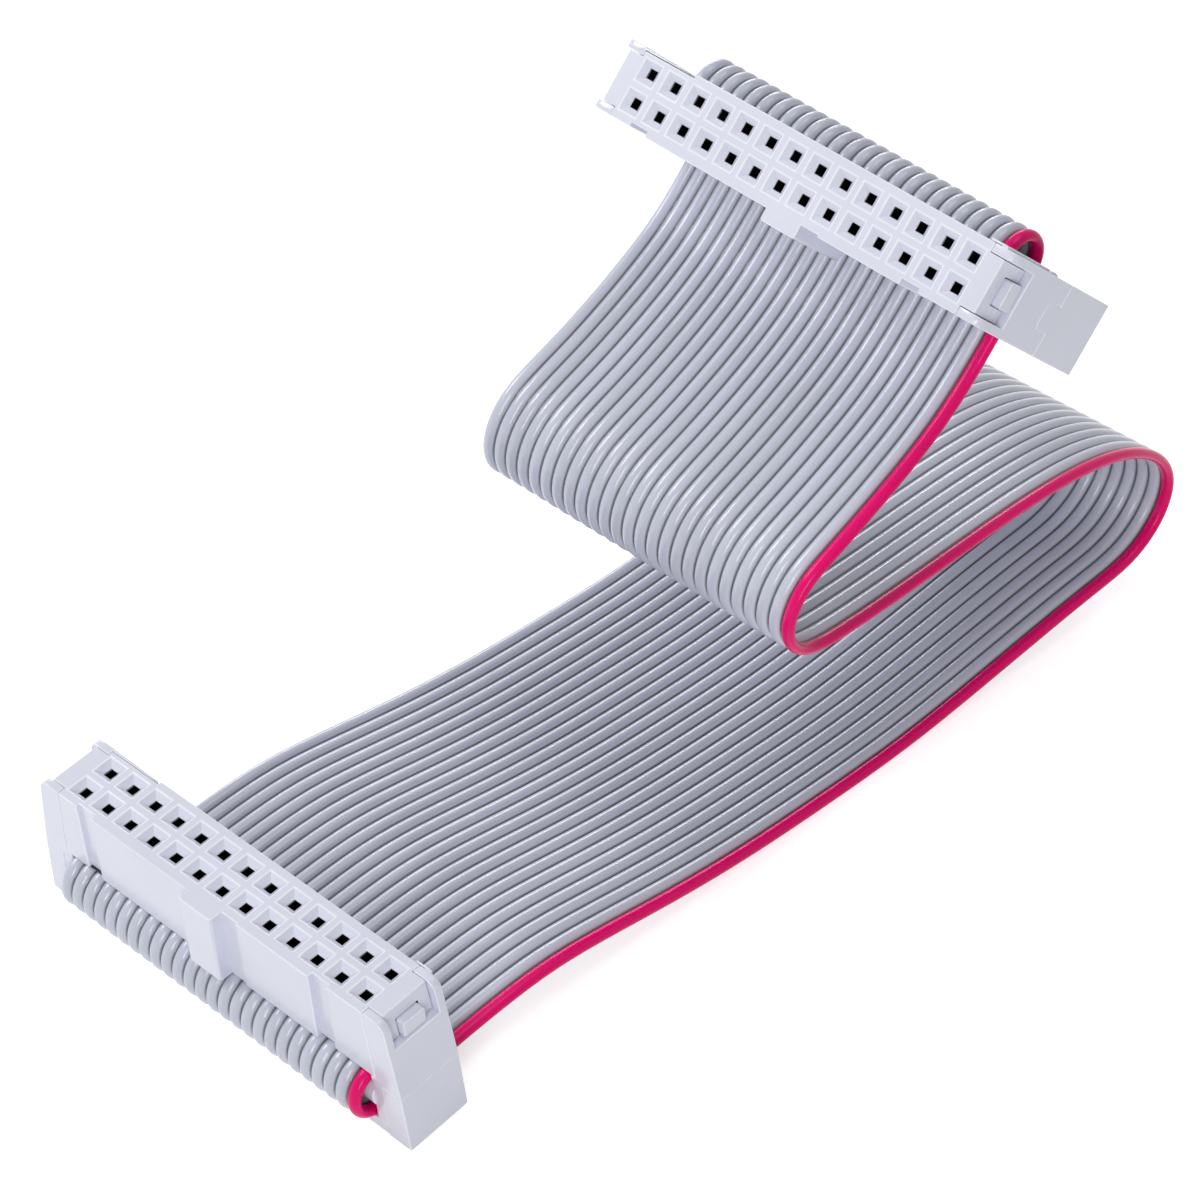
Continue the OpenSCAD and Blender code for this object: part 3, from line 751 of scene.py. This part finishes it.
class RIBBON_OT_cores(bpy.types.Operator):
    """Stranded bare cores at both cut ends of the ribbon."""

    bl_idname = "ribbon.cores"
    bl_label = "Cut Cores"

    def execute(self, context):
        ribbon, socket, _ = settings()
        copper = plated_metal("bare_copper", socket.copper, COPPER_ROUGH, 1)
        bundle = strand_bundle(socket)
        context.scene.collection.objects.link(bundle)
        for level, place, way, shift in (("lower", LOWER_PLACE, LOWER_WAY, 0),
                                         ("upper", UPPER_PLACE, UPPER_WAY, UPPER_SHIFT)):
            first = (wire_place(0, ribbon.wires), 0, 0)
            faced = place @ Matrix.Translation((shift, way * CUT_Y, HIGH_LEVEL))
            if way < 0:
                faced = faced @ Matrix.Rotation(math.pi, 4, "Z")
            mesh = row_of(f"{level}_cores", bundle, copper, ribbon.wires, PITCH, first, faced)
            new_piece(f"{level}_cores", mesh, copper, [f"{level}_core_ends"])
        bpy.data.objects.remove(bundle)
        return {"FINISHED"}


class RIBBON_OT_contacts(bpy.types.Operator):
    """Give the plated contacts their metal, near black as painted shade in the pin holes."""

    bl_idname = "ribbon.contacts"
    bl_label = "Plated Contacts"

    def execute(self, context):
        socket = settings()[1]
        # Near-black metal with almost no glancing reflection, as painted shade in the holes
        shade_dark_tin = plated_metal("tin_plate", socket.shade_dark_tin, TIN_ROUGH, TIN_SHADE_GLANCE)
        for level in ("lower", "upper"):
            for row in ("key", "back"):
                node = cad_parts[f"{level}_contacts_{row}_row"]
                node.data.materials.clear()
                node.data.materials.append(shade_dark_tin)
        return {"FINISHED"}


def seen_or_mirrored(tree, unseen, seen):
    """One number for rays from the camera, a mirror or glass, and another for all the rest."""
    rays = tree.nodes.new("ShaderNodeLightPath")
    either = rays.outputs["Is Camera Ray"]
    for kind in ("Is Glossy Ray", "Is Transmission Ray"):
        most = tree.nodes.new("ShaderNodeMath")
        most.operation = "MAXIMUM"
        tree.links.new(either, most.inputs[0])
        tree.links.new(rays.outputs[kind], most.inputs[1])
        either = most.outputs["Value"]
    span = tree.nodes.new("ShaderNodeMapRange")
    span.inputs["To Min"].default_value = unseen
    span.inputs["To Max"].default_value = seen
    tree.links.new(either, span.inputs["Value"])
    return span.outputs["Result"]


def far_from_middle(tree, near, far):
    """A number that goes from near, under the cable, to far, where the lamps reach less."""
    place = tree.nodes.new("ShaderNodeTexCoord")
    reach = tree.nodes.new("ShaderNodeVectorMath")
    reach.operation = "LENGTH"
    span = tree.nodes.new("ShaderNodeMapRange")
    span.inputs["From Min"].default_value = FLOOR_NEAR
    span.inputs["From Max"].default_value = FLOOR_FAR
    span.inputs["To Min"].default_value = near
    span.inputs["To Max"].default_value = far
    tree.links.new(place.outputs["Object"], reach.inputs["Vector"])
    tree.links.new(reach.outputs["Value"], span.inputs["Value"])
    return span.outputs["Result"]


def area_lamp(name, at, size, power):
    """A soft white lamp that points at the cable."""
    lamp = bpy.data.lights.new(name, "AREA")
    lamp.shape = "RECTANGLE"
    lamp.size, lamp.size_y = size
    lamp.energy = power
    holder = bpy.data.objects.new(name, lamp)
    holder.location = at
    holder.rotation_euler = (Vector(LAMP_TARGET) - Vector(at)).to_track_quat("-Z", "Y").to_euler()
    bpy.context.scene.collection.objects.link(holder)


class RIBBON_OT_stage(bpy.types.Operator):
    """Camera, pale floor, soft lamps and even sky."""

    bl_idname = "ribbon.stage"
    bl_label = "Studio Stage"

    def execute(self, context):
        studio = settings()[2]
        scene = context.scene
        scene.view_settings.view_transform = "Standard"
        lens = bpy.data.cameras.new(CAMERA_NAME)
        lens.lens = CAMERA_LENS
        lens.sensor_width = SENSOR_WIDTH
        lens.clip_start = 0.01
        camera = bpy.data.objects.new(CAMERA_NAME, lens)
        camera.location = CAMERA_AT
        camera.rotation_euler = [math.radians(a) for a in CAMERA_TURN]
        scene.collection.objects.link(camera)
        scene.camera = camera

        world = bpy.data.worlds.new("even_sky")
        world.use_nodes = True
        background = world.node_tree.nodes["Background"]
        background.inputs["Color"].default_value = (1, 1, 1, 1)
        level = seen_or_mirrored(world.node_tree, studio.sky, 1)
        world.node_tree.links.new(level, background.inputs["Strength"])
        scene.world = world

        mesh = bpy.data.meshes.new("floor")
        corners = [(x * HALF_FLOOR, y * HALF_FLOOR, 0) for x, y in ((-1, -1), (1, -1), (1, 1), (-1, 1))]
        mesh.from_pydata(corners, [], [(0, 1, 2, 3)])
        floor = bpy.data.objects.new("floor", mesh)
        scene.collection.objects.link(floor)
        material, tree, shader = new_material("pale_floor")
        shader.inputs["Base Color"].default_value = (*studio.floor, 1)
        shader.inputs["Roughness"].default_value = 0.9
        shader.inputs["Specular IOR Level"].default_value = 0
        shader.inputs["Emission Color"].default_value = (1, 1, 1, 1)
        lift = tree.nodes.new("ShaderNodeMath")
        lift.operation = "MULTIPLY"
        tree.links.new(seen_or_mirrored(tree, 0, 1), lift.inputs[0])
        tree.links.new(far_from_middle(tree, studio.floor_lift, 1), lift.inputs[1])
        tree.links.new(lift.outputs["Value"], shader.inputs["Emission Strength"])
        mesh.materials.append(material)

        for name, at, size in LAMPS:
            area_lamp(name, at, size, getattr(studio, name))
        return {"FINISHED"}


class RIBBON_PT_panel(bpy.types.Panel):
    """Lists the steps that build the cable."""

    bl_label = "Ribbon Cable"
    bl_idname = "RIBBON_PT_panel"
    bl_space_type = "VIEW_3D"
    bl_region_type = "UI"
    bl_category = "Ribbon Cable"

    def draw(self, context):
        for step in STEPS:
            self.layout.operator(step.bl_idname)
        for group in settings():
            for key in group.bl_rna.properties.keys():
                if key not in ("rna_type", "name"):
                    self.layout.prop(group, key)


STEPS = (RIBBON_OT_stage, RIBBON_OT_wires, RIBBON_OT_sockets, RIBBON_OT_cores, RIBBON_OT_contacts)
CLASSES = (RibbonSettings, SocketSettings, StudioSettings, *STEPS, RIBBON_PT_panel)


def register():
    for made in CLASSES:
        bpy.utils.register_class(made)
    bpy.types.Scene.ribbon_settings = bpy.props.PointerProperty(type=RibbonSettings)
    bpy.types.Scene.socket_settings = bpy.props.PointerProperty(type=SocketSettings)
    bpy.types.Scene.studio_settings = bpy.props.PointerProperty(type=StudioSettings)


def unregister():
    del bpy.types.Scene.ribbon_settings
    del bpy.types.Scene.socket_settings
    del bpy.types.Scene.studio_settings
    for made in reversed(CLASSES):
        bpy.utils.unregister_class(made)


def declare_ribbon():
    """Work out the middle points of the ribbon's rings; the list is not kept."""
    scene = bpy.context.scene
    ribbon = scene.ribbon_settings
    rings = ribbon_rings(ribbon.steps, ribbon.bend_steps)
    [tuple(ring[0]) for ring in rings]


def main():
    register()
    bpy.ops.ribbon.stage()
    bpy.ops.ribbon.wires()
    bpy.ops.ribbon.sockets()
    bpy.ops.ribbon.cores()
    bpy.ops.ribbon.contacts()
    declare_ribbon()


if __name__ == "__main__":
    main()
